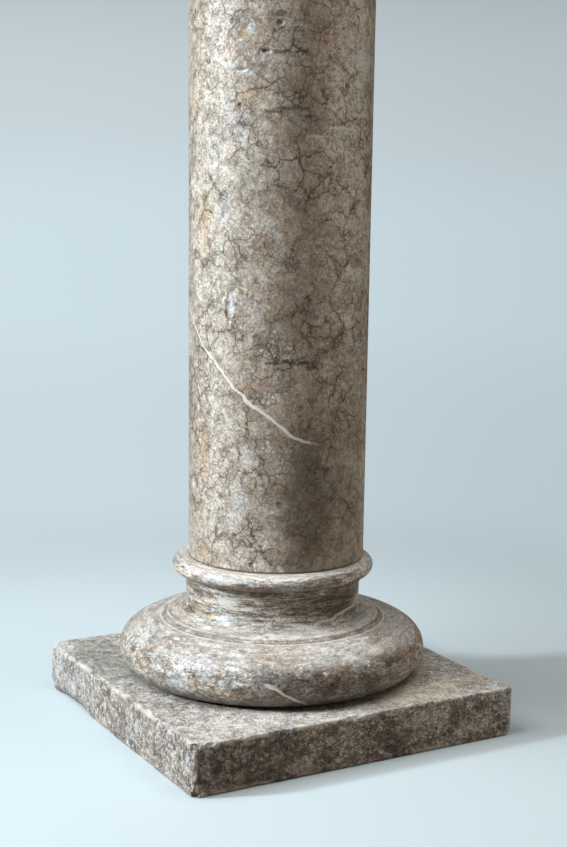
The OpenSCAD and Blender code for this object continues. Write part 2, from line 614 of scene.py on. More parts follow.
def build_arris_wear():
    """The worn arrises of a block: 1 along them, 0 on the open faces."""
    (vector, centre, half, width, grain), result = new_group(
        "Arris wear", ["Mask"], Vector=ORIGIN, Centre=ORIGIN, Half=(0.1, 0.1, 0.1), Width=0.005, Grain=120
    )
    away = vector_maths("ABSOLUTE", vector_maths("SUBTRACT", vector, centre))
    x, y, z = parts_of(vector_maths("SUBTRACT", half, away))
    largest = maths("MAXIMUM", maths("MAXIMUM", x, y), z)
    line = uneven_line(x + y + z - largest, width, noise_value(vector, grain, 4, 0.7), 0.4)
    fill(result["Mask"], line * ramp(noise_value(vector, grain * 0.35, 3), 0.44, 0.58))


def build_ledges():
    """Pale dust on ledges with painted top light, and painted shade beneath them, by which way the surface
    faces.
    """
    (vector, normal, grain), result = new_group(
        "Ledges", ["Dust and top light", "Shade beneath"], Vector=ORIGIN, Normal=(0, 0, 1), Grain=90
    )
    facing = parts_of(normal)[2]
    uneven = ramp(noise_value(vector, grain, 5, 0.7), 0.3, 0.6, 0.35, 1)
    fill(result["Dust and top light"], ramp(facing, 0.45, 0.95) * uneven)
    fill(result["Shade beneath"], ramp(facing, -0.15, -0.8) * uneven)


def build_ring_line():
    """An uneven line that runs round the moulding at a radius and a height: 1 on the line."""
    (vector, radius, height, width), result = new_group(
        "Ring line", ["Mask"], Vector=ORIGIN, Radius=0.09, Height=0.09, Width=0.003
    )
    x, y, z = parts_of(vector)
    aside = length_of(vector_from(X=x, Y=y)) - radius
    above = z - height
    away = maths("SQRT", aside * aside + above * above)
    fill(result["Mask"], uneven_line(away, width, noise_value(vector, 90, 4, 0.65), 0.35))


EFFECTS = (
    build_wisps,
    build_mottle,
    build_crackle,
    build_threads,
    build_patch,
    build_sheet_vein,
    build_arris_wear,
    build_ledges,
    build_ring_line,
)


# ---- Marbles ----


class Marble:
    """A marble that is coloured layer by layer, from its body colour up."""

    def __init__(self, name, body, coat, coat_roughness):
        self.material = bpy.data.materials.new(name)
        self.material.use_nodes = True
        tree = self.material.node_tree
        self.shader = tree.nodes["Principled BSDF"].inputs
        self.shader["Specular IOR Level"].default_value = 0.4
        self.shader["Coat Weight"].default_value = coat
        self.shader["Coat Roughness"].default_value = coat_roughness
        source = tree.nodes.new("ShaderNodeTexCoord").outputs
        self.place = Wire(source["Object"])
        self.facing = Wire(source["Normal"])
        self.colours = bpy.context.scene.column_colours
        self.tone = getattr(self.colours, body)

    def mix(self, mask, colour):
        """Lays a colour over the stone where the mask is."""
        self.tone = blend(mask, self.tone, getattr(self.colours, colour))

    def shade(self, factor):
        """Makes the stone lighter or darker by a factor."""
        self.tone = node("HueSaturation", "Color", {"Color": self.tone, "Value": factor})

    def tint(self, colour, amount, scale, low, high, stretch=1, bend=0.5, place=None):
        """Washes wisps of another colour over the stone."""
        drawn = dict(Vector=place or self.place, Stretch=stretch, Bend=bend)
        self.mix(effect("Wisps", "Mask", Scale=scale, Low=low, High=high, **drawn) * amount, colour)

    def clasts(self, dark, light, cell, wander, amount):
        """Gives each clast of the stone a tone of its own, between dark and light."""
        own = effect("Crackle", "Tone", Vector=self.place, Cell=cell, Wander=wander)
        self.mix(ramp(own, 0.5, 0) * amount, dark)
        self.mix(ramp(own, 0.5, 1) * amount, light)

    def mottle(self, scale, dark, light, place=None):
        """Mottles the stone finely, from dark to light."""
        vector = place or self.place
        self.shade(effect("Mottle", "Factor", Vector=vector, Scale=scale, Dark=dark, Light=light))

    def patch(self, centre, size, ragged, grain):
        """The mask of one ragged patch; its centre and half sizes are in millimetres."""
        centre, size = (tuple(part / 1000 for part in given) for given in (centre, size))
        oval = dict(Vector=self.place, Centre=centre, Size=size)
        return effect("Patch", "Mask", Ragged=ragged, Grain=grain, **oval)

    def daub(self, centre, size, colour, amount, ragged=0.5, grain=180):
        """Lays one ragged patch of colour at a place."""
        self.mix(self.patch(centre, size, ragged, grain) * amount, colour)

    def retone(self, centre, size, factor):
        """Paints light and shade: makes a soft patch of the stone lighter or darker by a factor, and keeps
        its pattern.
        """
        self.shade(self.patch(centre, size, 0.2, 40) * (factor - 1) + 1)

    def vein(self, amount, normal, offset, width, centre, size):
        """Draws a wavy calcite vein where a sheet meets the surface, within a patch."""
        sheet = effect("Sheet vein", "Mask", Vector=self.place, Normal=normal, Offset=offset, Width=width)
        near = ramp(self.patch(centre, size, 0.05, 150), 0, 0.3)
        self.mix(sheet * near * amount, "calcite")

    def ring(self, colour, amount, radius, height, width):
        """Draws an uneven line round the moulding."""
        line = effect("Ring line", "Mask", Vector=self.place, Radius=radius, Height=height, Width=width)
        self.mix(line * amount, colour)

    def net(self, cell, width, wander, gaps, part="Seam"):
        """A broken crackle net over the stone, or the soft halo beside it."""
        lines = dict(Vector=self.place, Cell=cell, Width=width, Wander=wander, Gaps=gaps)
        return effect("Crackle", part, **lines)

    def threads(self, scale, width, warp, gaps, place=None):
        """Wandering threads over the stone."""
        lines = dict(Vector=place or self.place, Scale=scale, Width=width, Warp=warp, Gaps=gaps)
        return effect("Threads", "Mask", **lines)

    def ledges(self, kind, grain, amount, colour):
        """Lays pale dust with painted top light on the ledges, or painted shade beneath them, and returns
        its mask.
        """
        mask = effect("Ledges", kind, Vector=self.place, Normal=self.facing, Grain=grain)
        self.mix(mask * amount, colour)
        return mask

    def finish(self, grain, dark, depth, rough, gloss):
        """Feeds the colour, the fine relief and the gloss into the shader."""
        fill(self.shader["Base Color"], blend(1, self.tone, self.colours.whitest, "DARKEN"))
        grain = noise_value(self.place, *grain)
        relief = {"Height": grain - dark * 0.8, "Distance": depth, "Strength": 1}
        fill(self.shader["Normal"], node("Bump", "Normal", relief))
        fill(self.shader["Roughness"], ramp(maths("MAXIMUM", rough, grain), 0.4, 1, *gloss))


def strongest(*layers):
    """The strongest of several masks, each weakened by its own amount."""
    result = 0.0
    for mask, amount in layers:
        result = maths("MAXIMUM", result, mask * amount)
    return result


def drawn_round(place, radius, draw):
    """Coordinates in which a pattern runs round the moulding, draw times as long as it is high."""
    x, y, z = parts_of(place)
    flat = vector_from(X=x, Y=y)
    moved = (length_of(flat) - radius) * draw + radius
    placed = vector_maths("SCALE", vector_maths("NORMALIZE", flat), moved)
    return vector_maths("ADD", placed, vector_from(Z=z * draw))


# The shaft's marble. Its marks are given by their bearing round the shaft, height, half size
# across and up, in degrees and millimetres, then by their colour and amount, or by a factor.

SHAFT_MARKS = [
    # Painted reflection of the light on the shaft's right side.
    (287, 520, 30, 90, "shaft_pale", 0.35),
    # Painted highlight down the lit left side.
    (195, 430, 30, 330, "shaft_pale", 0.6),
    # Painted reflection of the light on the shaft's right side, in this row and the next.
    (322, 380, 22, 260, "shaft_pale", 0.6),
    (298, 500, 26, 270, "shaft_pale", 0.55),
    (265, 568, 10, 22, "pink", 0.6),
    (250, 530, 14, 12, "shaft_brown", 0.8),
    (223, 574, 4, 8, "quartz", 1),
    (228, 556, 5, 3, "quartz", 0.9),
    (219, 541, 8, 3, "quartz", 0.9),
    # Painted highlight on the lit left side.
    (217, 497, 9, 20, "quartz", 0.5),
    (197, 474, 4, 8, "calcite", 0.95),
    (204, 434, 6, 12, "quartz", 0.8),
    (204, 405, 4, 6, "calcite", 0.8),
    (210, 360, 4, 16, "quartz", 0.95),
    # Painted highlight low on the lit left side.
    (215, 198, 14, 16, "quartz", 0.4),
    (268, 332, 2.5, 3, "calcite", 0.9),
    (292, 202, 3, 4, "calcite", 0.95),
    (226, 150, 4, 2.5, "calcite", 0.95),
    (245, 147, 6, 4, "calcite", 0.7),
    (187, 150, 9, 10, "ochre", 0.6),
    (188, 240, 8, 34, "ochre", 0.6),
    (188, 425, 8, 30, "ochre", 0.55),
    (184, 560, 8, 40, "ochre", 0.3),
    (249, 358, 26, 26, "grime_and_shade", 0.4),
    (315, 254, 4, 30, "shaft_pale", 0.7),
]
# Painted shade: brown washes down the shaft's shaded right side and where it turns away from the key light.
SHAFT_PAINTED_SHADE = [
    (254, 470, 36, 280, "shaft_brown", 0.35),
    (276, 200, 56, 105, "shaft_brown", 0.4),
    (260, 195, 26, 80, "grime_and_shade", 0.5),
    (300, 800, 80, 160, "shaft_brown", 0.3),
]
SHAFT_SMEARS = [
    (237, 316, 8, 1.7, "vein_dark", 0.9),
    (246, 317, 9, 2.4, "vein_dark", 0.95),
    (255, 316, 9, 2.4, "vein_dark", 0.95),
    (262, 313, 8, 2.8, "vein_dark", 0.85),
    (230, 557, 6, 2.2, "vein_dark", 0.8),
    (241, 556, 12, 1.8, "vein_dark", 0.7),
    (253, 557, 6, 2.4, "vein_dark", 0.8),
    (240, 584, 9, 2.8, "vein_dark", 0.7),
    (236, 511, 9, 1.6, "vein_dark", 0.7),
    (247, 514, 12, 2, "vein_dark", 0.75),
    (258, 508, 9, 1.6, "vein_dark", 0.7),
    (242, 551, 14, 2.6, "quartz", 0.3),
    (263, 493, 8, 1.5, "shaft_pale", 0.7),
    (278, 500, 14, 1.5, "shaft_pale", 0.7),
    (296, 511, 14, 2.5, "shaft_pale", 0.6),
    # Painted highlight on the lit left side.
    (209, 510, 5, 8, "quartz", 0.4),
]
# Painted light and shade: soft patches made lighter or darker by a factor, where light and shade fall on the
# shaft.
SHAFT_LIGHT_AND_SHADE = [
    (284, 500, 32, 260, 1.32),
    (318, 400, 26, 300, 1.12),
    (262, 205, 30, 84, 0.86),
    (205, 200, 40, 90, 1.1),
]


def on_shaft(table):
    """A table's rows with the bearing and height made a centre and the half sizes a size."""
    axis = axis_of("shaft") * 1000
    radius = half_width("shaft") * 1000
    for degrees, height, across, up, *rest in table:
        turn = math.radians(degrees)
        centre = (axis.x + radius * math.cos(turn), axis.y + radius * math.sin(turn), height)
        yield centre, (across, across, up), *rest


def shaft_marble():
    """Polished taupe breccia with a net of dark hair veins and one white calcite vein."""
    marble = Marble("veined_marble", "shaft_taupe", 0.2, 0.18)
    marble.tint("shaft_pale", 0.5, 16, 0.42, 0.6)
    marble.tint("shaft_brown", 0.6, 26, 0.5, 0.62, 1.3)
    marble.clasts("shaft_brown", "shaft_pale", 0.018, 0.017, 0.22)
    marble.clasts("shaft_brown", "shaft_pale", 0.0075, 0.008, 0.18)
    marble.tint("pink", 0.5, 42, 0.53, 0.62)
    marble.tint("grey_green", 0.5, 30, 0.53, 0.63)
    marble.tint("ochre", 0.5, 55, 0.56, 0.65)
    marble.tint("quartz", 0.4, 70, 0.55, 0.63)
    for mark in on_shaft(SHAFT_MARKS):
        marble.daub(*mark)
    marble.tint("shaft_pale", 0.32, 85, 0.5, 0.6, 1.6, 0.8)
    marble.tint("shaft_brown", 0.6, 70, 0.53, 0.62, 1.6, 0.8)
    marble.tint("pink", 0.35, 110, 0.54, 0.61)
    marble.tint("grey_green", 0.4, 95, 0.54, 0.61)
    marble.mottle(230, 0.72, 1.27)
    marble.mottle(600, 0.62, 1.38)
    coarse_net = (0.018, 0.05, 0.017, 0.43)
    fine_net = (0.0075, 0.08, 0.008, 0.48)
    halo = strongest((marble.net(*coarse_net, "Halo"), 0.4), (marble.net(*fine_net, "Halo"), 0.25))
    marble.mix(halo, "shaft_brown")
    pale = strongest((marble.threads(26, 0.009, 1.2, 0.45), 0.5), (marble.threads(120, 0.03, 1.6, 0.4), 0.4))
    marble.mix(pale, "shaft_pale")
    # Painted shade on the shaft's shaded side.
    for wash in on_shaft(SHAFT_PAINTED_SHADE):
        marble.daub(*wash, 0.3, 40)
    dark = strongest(
        (marble.net(*coarse_net), 1),
        (marble.net(*fine_net), 0.75),
        (marble.threads(34, 0.011, 1.8, 0.42), 0.9),
        (marble.threads(75, 0.02, 2, 0.44), 0.75),
        (marble.threads(165, 0.045, 1.4, 0.46), 0.6),
    )
    marble.mix(dark * 0.95, "vein_dark")
    for smear in on_shaft(SHAFT_SMEARS):
        marble.daub(*smear, 0.75, 260)
    # Paints light and shade on the shaft.
    for light_shade_patch in on_shaft(SHAFT_LIGHT_AND_SHADE):
        marble.retone(*light_shade_patch)
    height = parts_of(marble.place)[2]
    narrowing = ramp(height, 0.31, 0.33, 0.0015, 0.0009)
    marble.vein(1, (0.211, -0.643, 0.737), 0.2306, narrowing, (-72, -30, 300), (85, 85, 200))
    marble.mix(ramp(height - foot("shaft"), 0.0008, 0.0022, 0.75, 0), "grime_and_shade")
    marble.finish((520, 3, 0.65), dark, 0.0002, dark, (0.32, 0.5))


# The marble of the base and the capital. Patches are given by their centre and half sizes in
# millimetres, then by their colour and amount, or by a factor.

TURNED_MARKS = [
    ((-75, -6, 112), (8, 10, 12), "ochre", 0.9),
    ((-62, -43, 113), (12, 14, 9), "calcite", 0.7),
    ((-132, -7, 66), (8, 12, 12), "ochre", 0.9),
    ((-114, -69, 59), (10, 12, 8), "ochre", 0.6),
    # Painted highlight on the torus's upper left.
    ((-115, -56, 77), (14, 20, 8), "quartz", 0.6),
    ((-81, -102, 72), (16, 16, 12), "grey_green", 0.6),
    ((-45, -122, 55), (40, 12, 9), "turned_brown", 0.6),
    ((-20, -128, 72), (34, 12, 12), "pink", 0.75),
    ((20, -128, 60), (60, 24, 14), "turned_brown", 0.7),
    ((23, -117, 84), (16, 6, 4), "turned_pale", 0.7),
    ((110, -53, 80), (26, 34, 14), "grey_green", 0.7),
    # Painted shade on the scotia's shaded front right, in this row and the next two.
    ((50, -75, 95), (44, 40, 7), "turned_brown", 0.8),
    ((15, -78, 114), (56, 34, 13), "turned_brown", 0.85),
    ((15, -78, 116), (50, 30, 8), "grime_and_shade", 0.55),
]
TURNED_WASHES = [
    # Partly the torus's brown clouds, partly painted shade on its lower front, in this row and the next.
    ((25, -125, 64), (85, 44, 24), "turned_brown", 0.7),
    ((-34, -126, 60), (66, 36, 22), "turned_brown", 0.7),
    # Painted shade on the scotia's shaded front right.
    ((20, -78, 112), (60, 40, 13), "turned_brown", 0.7),
    # Painted light on the lit left of the scotia, over its calcite patch.
    ((-66, -36, 112), (16, 26, 12), "calcite", 0.5),
    # Painted light on the scotia's floor.
    ((-5, -88, 97), (50, 20, 6), "turned_pale", 0.5),
    ((-30, -128, 74), (38, 20, 12), "pink", 0.5),
    ((58, -112, 72), (30, 24, 14), "pink", 0.4),
    ((-96, -84, 74), (30, 26, 12), "quartz", 0.35),
    ((105, -40, 85), (44, 60, 26), "grey_green", 0.6),
    ((60, -64, 136), (40, 30, 10), "ochre", 0.3),
]
TURNED_FLECKS = [
    ((7, -121, 82), (9, 8, 3), "calcite", 0.6),
    ((31, -117, 82), (12, 8, 3), "calcite", 0.55),
    ((-7, -112, 86), (12, 8, 3), "calcite", 0.55),
    ((-74, -98, 81), (10, 10, 3), "calcite", 0.55),
    # Painted highlight on the torus's upper left, in this row and the next.
    ((-116, -52, 78), (8, 14, 4), "calcite", 0.6),
    ((-103, -74, 78), (9, 12, 4), "quartz", 0.6),
    ((45, -122, 74), (16, 12, 4), "grime_and_shade", 0.6),
    ((72, -100, 81), (14, 14, 4), "grime_and_shade", 0.5),
    ((-44, -125, 66), (14, 10, 5), "grime_and_shade", 0.6),
    ((-11, -133, 62), (16, 8, 5), "grime_and_shade", 0.6),
    ((20, -131, 63), (16, 8, 5), "grime_and_shade", 0.6),
    ((-96, -90, 69), (10, 10, 3), "grime_and_shade", 0.45),
    ((-85, -102, 61), (12, 10, 4), "grime_and_shade", 0.5),
    ((-127, -40, 61), (8, 12, 4), "grime_and_shade", 0.4),
    ((-70, -110, 72), (9, 9, 3), "grime_and_shade", 0.45),
    # Painted shade on the scotia's front right.
    ((22, -84, 108), (26, 20, 6), "grime_and_shade", 0.55),
]
# Painted light and shade: the torus's front and underside and the scotia's right darker; the scotia's left
# and floor, the torus's top and the astragal lighter.
TURNED_LIGHT_AND_SHADE = [
    ((-46, -116, 68), (46, 34, 25), 0.66),
    ((14, -128, 66), (52, 30, 22), 0.72),
    ((25, -76, 113), (46, 36, 11), 0.55),
    ((-66, -36, 113), (24, 34, 12), 1.5),
    ((-16, -126, 50), (84, 40, 13), 0.72),
    ((-60, -108, 46), (40, 30, 9), 0.8),
    ((-10, -94, 96), (60, 26, 7), 1.6),
    ((-14, -106, 86), (70, 26, 6), 1.3),
    ((60, -60, 136), (26, 36, 9), 1.6),
    ((-80, -22, 136), (26, 44, 9), 1.25),
    ((-36, -78, 134), (30, 24, 8), 1.25),
]
GLINTS = [(-22, -129, 74), (19, -129, 75), (-40, -120, 79)]
# Amount, the sheet's normal and offset, width, centre, half sizes
TURNED_VEINS = [
    (0.85, (-0.451, 0.191, -0.872), -0.0493, 0.0017, (-50, -120, 57), (30, 20, 17)),
    (0.85, (-0.047, -0.313, 0.949), 0.1181, 0.0011, (25, -70, 103), (56, 42, 20)),
]
# Painted shade and painted highlights round the mouldings: dark lines in the fillet's recess, under the
# astragal and where the torus meets the plinth, pale lines along the lit edges. Colour, amount, radius,
# height, width
PAINTED_SHADE_AND_HIGHLIGHT_RINGS = [
    ("calcite", 0.6, 0.0975, 0.0893, 0.0013),
    ("grime_and_shade", 0.7, 0.0957, 0.0901, 0.0011),
    ("grime_and_shade", 0.4, 0.0935, 0.0913, 0.0019),
    ("calcite", 0.85, 0.0912, 0.0934, 0.0011),
    ("grime_and_shade", 0.6, 0.0872, 0.0962, 0.0009),
    ("turned_pale", 0.6, 0.0768, 0.1216, 0.0014),
    ("grime_and_shade", 0.85, 0.0782, 0.1288, 0.0042),
    ("grime_and_shade", 0.8, 0.1122, 0.0425, 0.005),
]


def turned_marble():
    """Polished cream, grey and brown marble, whose wisps run round the moulding."""
    marble = Marble("wisped_marble", "turned_grey", 0.25, 0.15)
    marble.tint("turned_brown", 0.8, 20, 0.48, 0.6, 1.6)
    marble.clasts("turned_brown", "turned_pale", 0.013, 0.012, 0.4)
    marble.tint("pink", 0.75, 30, 0.53, 0.61, 1.5)
    marble.tint("grey_green", 0.6, 26, 0.51, 0.61, 1.8)
    marble.tint("ochre", 0.7, 60, 0.57, 0.65)
    for mark in TURNED_MARKS:
        marble.daub(*mark)
    marble.ring("turned_pale", 0.65, 0.082, 0.1365, 0.012)
    flow = drawn_round(marble.place, 0.112, 2.4)
    marble.tint("turned_pale", 0.85, 22, 0.5, 0.57, 1, 0.9, flow)
    marble.tint("turned_brown", 0.9, 30, 0.52, 0.58, 1, 0.9, flow)
    for wash in TURNED_WASHES:
        marble.daub(*wash, 0.35, 60)
    # Colour, amount, scale, low, high
    wisps = [
        ("turned_pale", 0.8, 52, 0.52, 0.58),
        ("turned_brown", 0.85, 74, 0.52, 0.58),
        ("quartz", 0.75, 34, 0.52, 0.58),
        ("pink", 0.6, 44, 0.54, 0.6),
        ("ochre", 0.4, 38, 0.55, 0.61),
        ("grey_green", 0.6, 48, 0.54, 0.6),
    ]
    for wisp in wisps:
        marble.tint(*wisp, 1, 0.9, flow)
    for fleck in TURNED_FLECKS:
        marble.daub(*fleck, 0.9, 150)
    marble.mottle(60, 0.62, 1.38, flow)
    marble.mottle(150, 0.55, 1.42, flow)
    marble.mottle(480, 0.6, 1.4)
    pale = strongest(
        (marble.threads(30, 0.012, 1.6, 0.4, flow), 0.7), (marble.threads(80, 0.03, 1.8, 0.42, flow), 0.6)
    )
    marble.mix(pale, "calcite")
    dark = strongest(
        (marble.net(0.010, 0.07, 0.015, 0.42), 0.85),
        (marble.threads(42, 0.016, 1.8, 0.4, flow), 0.9),
        (marble.threads(95, 0.035, 1.8, 0.42, flow), 0.8),
    )
    marble.mix(dark * 0.85, "vein_dark")
    streaked = marble.patch((100, -60, 80), (60, 80, 40), 0.2, 150)
    marble.mix(streaked * marble.threads(60, 0.03, 1.6, 0.2, flow) * 0.75, "turned_brown")
    marble.mix(streaked * marble.threads(78, 0.03, 1.6, 0.2, flow) * 0.55, "turned_pale")
    grit = effect("Mottle", "Factor", Vector=flow, Scale=210, Low=0.36, High=0.64, Dark=-0.5, Light=0.6)
    marble.shade(grit * streaked + 1)
    # Paints light and shade on the base.
    for light_shade_patch in TURNED_LIGHT_AND_SHADE:
        marble.retone(*light_shade_patch)
    for glint in GLINTS:
        marble.daub(glint, (2.4, 3, 1.6), "calcite", 1, 0.6, 400)
    for vein in TURNED_VEINS:
        marble.vein(*vein)
    # Pale dust with painted top light on the upward faces, and painted shade on the undersides.
    dust_and_top_light = marble.ledges("Dust and top light", 110, 0.38, "dust_and_top_light")
    marble.ledges("Shade beneath", 110, 0.85, "grime_and_shade")
    # Painted shade and painted highlight lines round the mouldings.
    for line in PAINTED_SHADE_AND_HIGHLIGHT_RINGS:
        marble.ring(*line)
    marble.finish((480, 3, 0.65), dark, 0.0002, dust_and_top_light, (0.28, 0.55))


# The marble of the slabs, with the plinth's own patches in the same columns.

PLINTH_MARKS = [
    # The shaded front face made darker: partly its own dark mottling, partly painted shade, in this row and
    # the next.
    ((-90, -150, 14), (100, 10, 50), "slab_dark", 0.75),
    ((70, -150, 14), (120, 10, 50), "slab_dark", 0.55),
    ((70, -125, 43), (60, 24, 6), "tan", 0.6),
    ((110, -60, 43), (40, 60, 6), "tan", 0.4),
    ((-90, -115, 43), (50, 26, 6), "slab_pale", 0.7),
    ((-122, 90, 43), (30, 60, 6), "grey_green", 0.5),
    ((-146, 125, 42), (14, 26, 6), "calcite", 0.85),
    ((-150, 138, 24), (8, 14, 20), "calcite", 0.85),
    ((-150, 98, 14), (6, 14, 10), "calcite", 0.7),
    ((56, -150, 25), (26, 6, 14), "slab_pale", 0.45),
]
PLINTH_WASHES = [
    # The shaded front face made darker: partly its own dark mottling, partly painted shade.
    ((-60, -150, 18), (160, 6, 60), "slab_dark", 0.4),
    # Tan wash in the torus's shadow: partly the top's own tan, partly painted light.
    ((75, -118, 43), (64, 34, 5), "tan", 0.75),
    ((-40, -122, 43), (110, 34, 5), "slab_pale", 0.25),
    ((-120, 80, 43), (34, 80, 5), "grey_green", 0.7),
    ((66, -150, 30), (24, 6, 12), "slab_pale", 0.35),
    ((114, -150, 18), (20, 6, 12), "slab_pale", 0.35),
    ((137, -150, 34), (14, 6, 10), "slab_pale", 0.3),
    ((-14, -150, 27), (16, 6, 10), "slab_pale", 0.3),
    ((-57, -150, 10), (16, 6, 8), "slab_pale", 0.3),
    ((27, -150, 21), (18, 6, 16), "slab_dark", 0.55),
    ((92, -150, 30), (12, 6, 14), "slab_dark", 0.55),
    ((-150, 100, 20), (6, 60, 40), "quartz", 0.3),
    ((-149, 130, 26), (8, 14, 22), "calcite", 0.6),
    ((-143, 130, 43), (14, 20, 5), "calcite", 0.55),
    ((-150, 94, 13), (6, 12, 8), "calcite", 0.5),
]
# Painted light and shade: the front face, the left face and the back of the top darker; the front of the top
# and the top in the torus's shadow lighter.
PLINTH_LIGHT_AND_SHADE = [
    ((-118, 85, 43), (40, 75, 6), 0.8),
    ((-70, -100, 43), (70, 70, 6), 1.12),
    ((-150, 110, 22), (6, 50, 40), 0.88),
    ((-105, -150, 22), (60, 6, 50), 0.78),
    ((70, -122, 43), (44, 24, 6), 1.25),
]


def slab_marble(name, node_name, marks=(), washes=(), light_and_shade=()):
    """Honed grey-brown marble of a square slab, speckled with white and dark."""
    marble = Marble(name, "slab_grey", 0.08, 0.3)
    marble.tint("slab_dark", 0.4, 18, 0.48, 0.6, 1.4)
    marble.clasts("slab_dark", "slab_pale", 0.011, 0.012, 0.28)
    marble.tint("grey_green", 0.4, 26, 0.52, 0.64)
    marble.tint("ochre", 0.35, 40, 0.57, 0.67)
    for mark in marks:
        marble.daub(*mark)
    marble.tint("slab_pale", 0.6, 44, 0.5, 0.6, 1.8, 0.9)
    marble.tint("slab_dark", 0.6, 75, 0.52, 0.6, 1.6, 0.9)
    marble.tint("slab_pale", 0.85, 130, 0.52, 0.58, 1.8, 0.9)
    marble.tint("slab_dark", 0.6, 190, 0.54, 0.6, 1, 0.9)
    for wash in washes:
        marble.daub(*wash, 0.35, 60)
    marble.tint("quartz", 0.4, 60, 0.54, 0.61)
    marble.tint("tan", 0.22, 50, 0.54, 0.61)
    marble.tint("pink", 0.25, 90, 0.55, 0.61)
    marble.mottle(290, 0.5, 1.5)
    marble.mottle(700, 0.42, 1.58)
    # Paints light and shade on the slab.
    for light_shade_patch in light_and_shade:
        marble.retone(*light_shade_patch)
    dark = strongest((marble.net(0.009, 0.08, 0.013, 0.44), 0.8), (marble.threads(90, 0.03, 2, 0.44), 0.8))
    marble.mix(dark * 0.8, "vein_dark")
    low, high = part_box(node_name)
    block = dict(Centre=tuple((low + high) / 2), Half=tuple((high - low) / 2))
    worn = effect("Arris wear", "Mask", Vector=marble.place, **block)
    marble.mix(worn * 0.7, "worn_edge")
    # Pale dust with painted top light on the upward faces.
    marble.ledges("Dust and top light", 120, 0.22, "dust_and_top_light")
    marble.finish((420, 4, 0.7), dark, 0.0006, worn, (0.42, 0.65))


def stone(name, maker, *details):
    """The named material, made the first time that a piece asks for it."""
    if name not in bpy.data.materials:
        maker(*details)
    return bpy.data.materials[name]


# ---- Operators ----

# Each break: part of the half side in X and Y, part of the height, width and depth in metres
PLINTH_CHIPS = [
    (-1, -1, 1, 0.018, 0.006),
    (-1, -1, 0.45, 0.010, 0.0024),
    (-1, -1, 0, 0.016, 0.0055),
    (-0.9, -1, 1, 0.010, 0.0026),
    (-1, -0.86, 1, 0.009, 0.0022),
    (-0.72, -1, 1, 0.006, 0.0017),
    (-0.2, -1, 1, 0.020, 0.0014),
    (0.6, -1, 0, 0.010, 0.0022),
    (1, -1, 0, 0.012, 0.0034),
    (-1, -0.6, 1, 0.009, 0.002),
    (-1, 0.1, 1, 0.007, 0.0016),
    (-1, 0.2, 0, 0.060, 0.0016),
    (-1, 0.35, 0, 0.007, 0.002),
    (-1, 0.62, 0, 0.100, 0.0045),
    (-1, 0.9, 1, 0.012, 0.0026),
    (-1, 1, 1, 0.028, 0.009),
    (-1, 1, 0.5, 0.029, 0.004),
    (-1, 1, 0, 0.028, 0.009),
    (1, 1, 1, 0.009, 0.0025),
    (0.3, 1, 1, 0.007, 0.002),
]
ABACUS_CHIPS = [
    (1, -1, 1, 0.008, 0.0022),
    (-1, -0.4, 1, 0.006, 0.0017),
    (-1, 1, 0, 0.007, 0.002),
]
# Bearing in degrees, then height, width, height of the pit and depth in metres
SHAFT_PITS = [
    (240, 0.577, 0.006, 0.005, 0.0012),
    (232, 0.556, 0.007, 0.003, 0.0012),
    (216, 0.543, 0.014, 0.003, 0.0010),
    (216, 0.516, 0.004, 0.004, 0.0012),
    (197, 0.473, 0.008, 0.010, 0.0014),
    (278, 0.467, 0.005, 0.007, 0.0010),
    (266, 0.541, 0.003, 0.003, 0.0010),
    (206, 0.434, 0.007, 0.012, 0.0010),
    (209, 0.358, 0.007, 0.026, 0.0014),
    (268, 0.332, 0.004, 0.004, 0.0008),
    (292, 0.202, 0.005, 0.006, 0.0010),
    (226, 0.1495, 0.006, 0.004, 0.0012),
    (60, 0.41, 0.006, 0.012, 0.0012),
    (110, 0.62, 0.008, 0.006, 0.0012),
    (20, 0.27, 0.005, 0.014, 0.0012),
    (300, 0.71, 0.006, 0.009, 0.0012),
    (170, 0.83, 0.007, 0.007, 0.0012),
    (245, 0.78, 0.005, 0.011, 0.0012),
]


class COLUMN_OT_plinth(bpy.types.Operator):
    """Builds the square plinth"""

    bl_idname = "column.plinth"
    bl_label = "Plinth"

    def execute(self, context):
        bm = worn_slab("plinth", 150, 14, PLINTH_CHIPS, context.scene.column_wear)
        own = ("plinth_marble", "plinth", PLINTH_MARKS, PLINTH_WASHES, PLINTH_LIGHT_AND_SHADE)
        piece = finish_piece("worn_plinth", bm, stone("plinth_marble", slab_marble, *own))
        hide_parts("plinth")
        return {"FINISHED"}


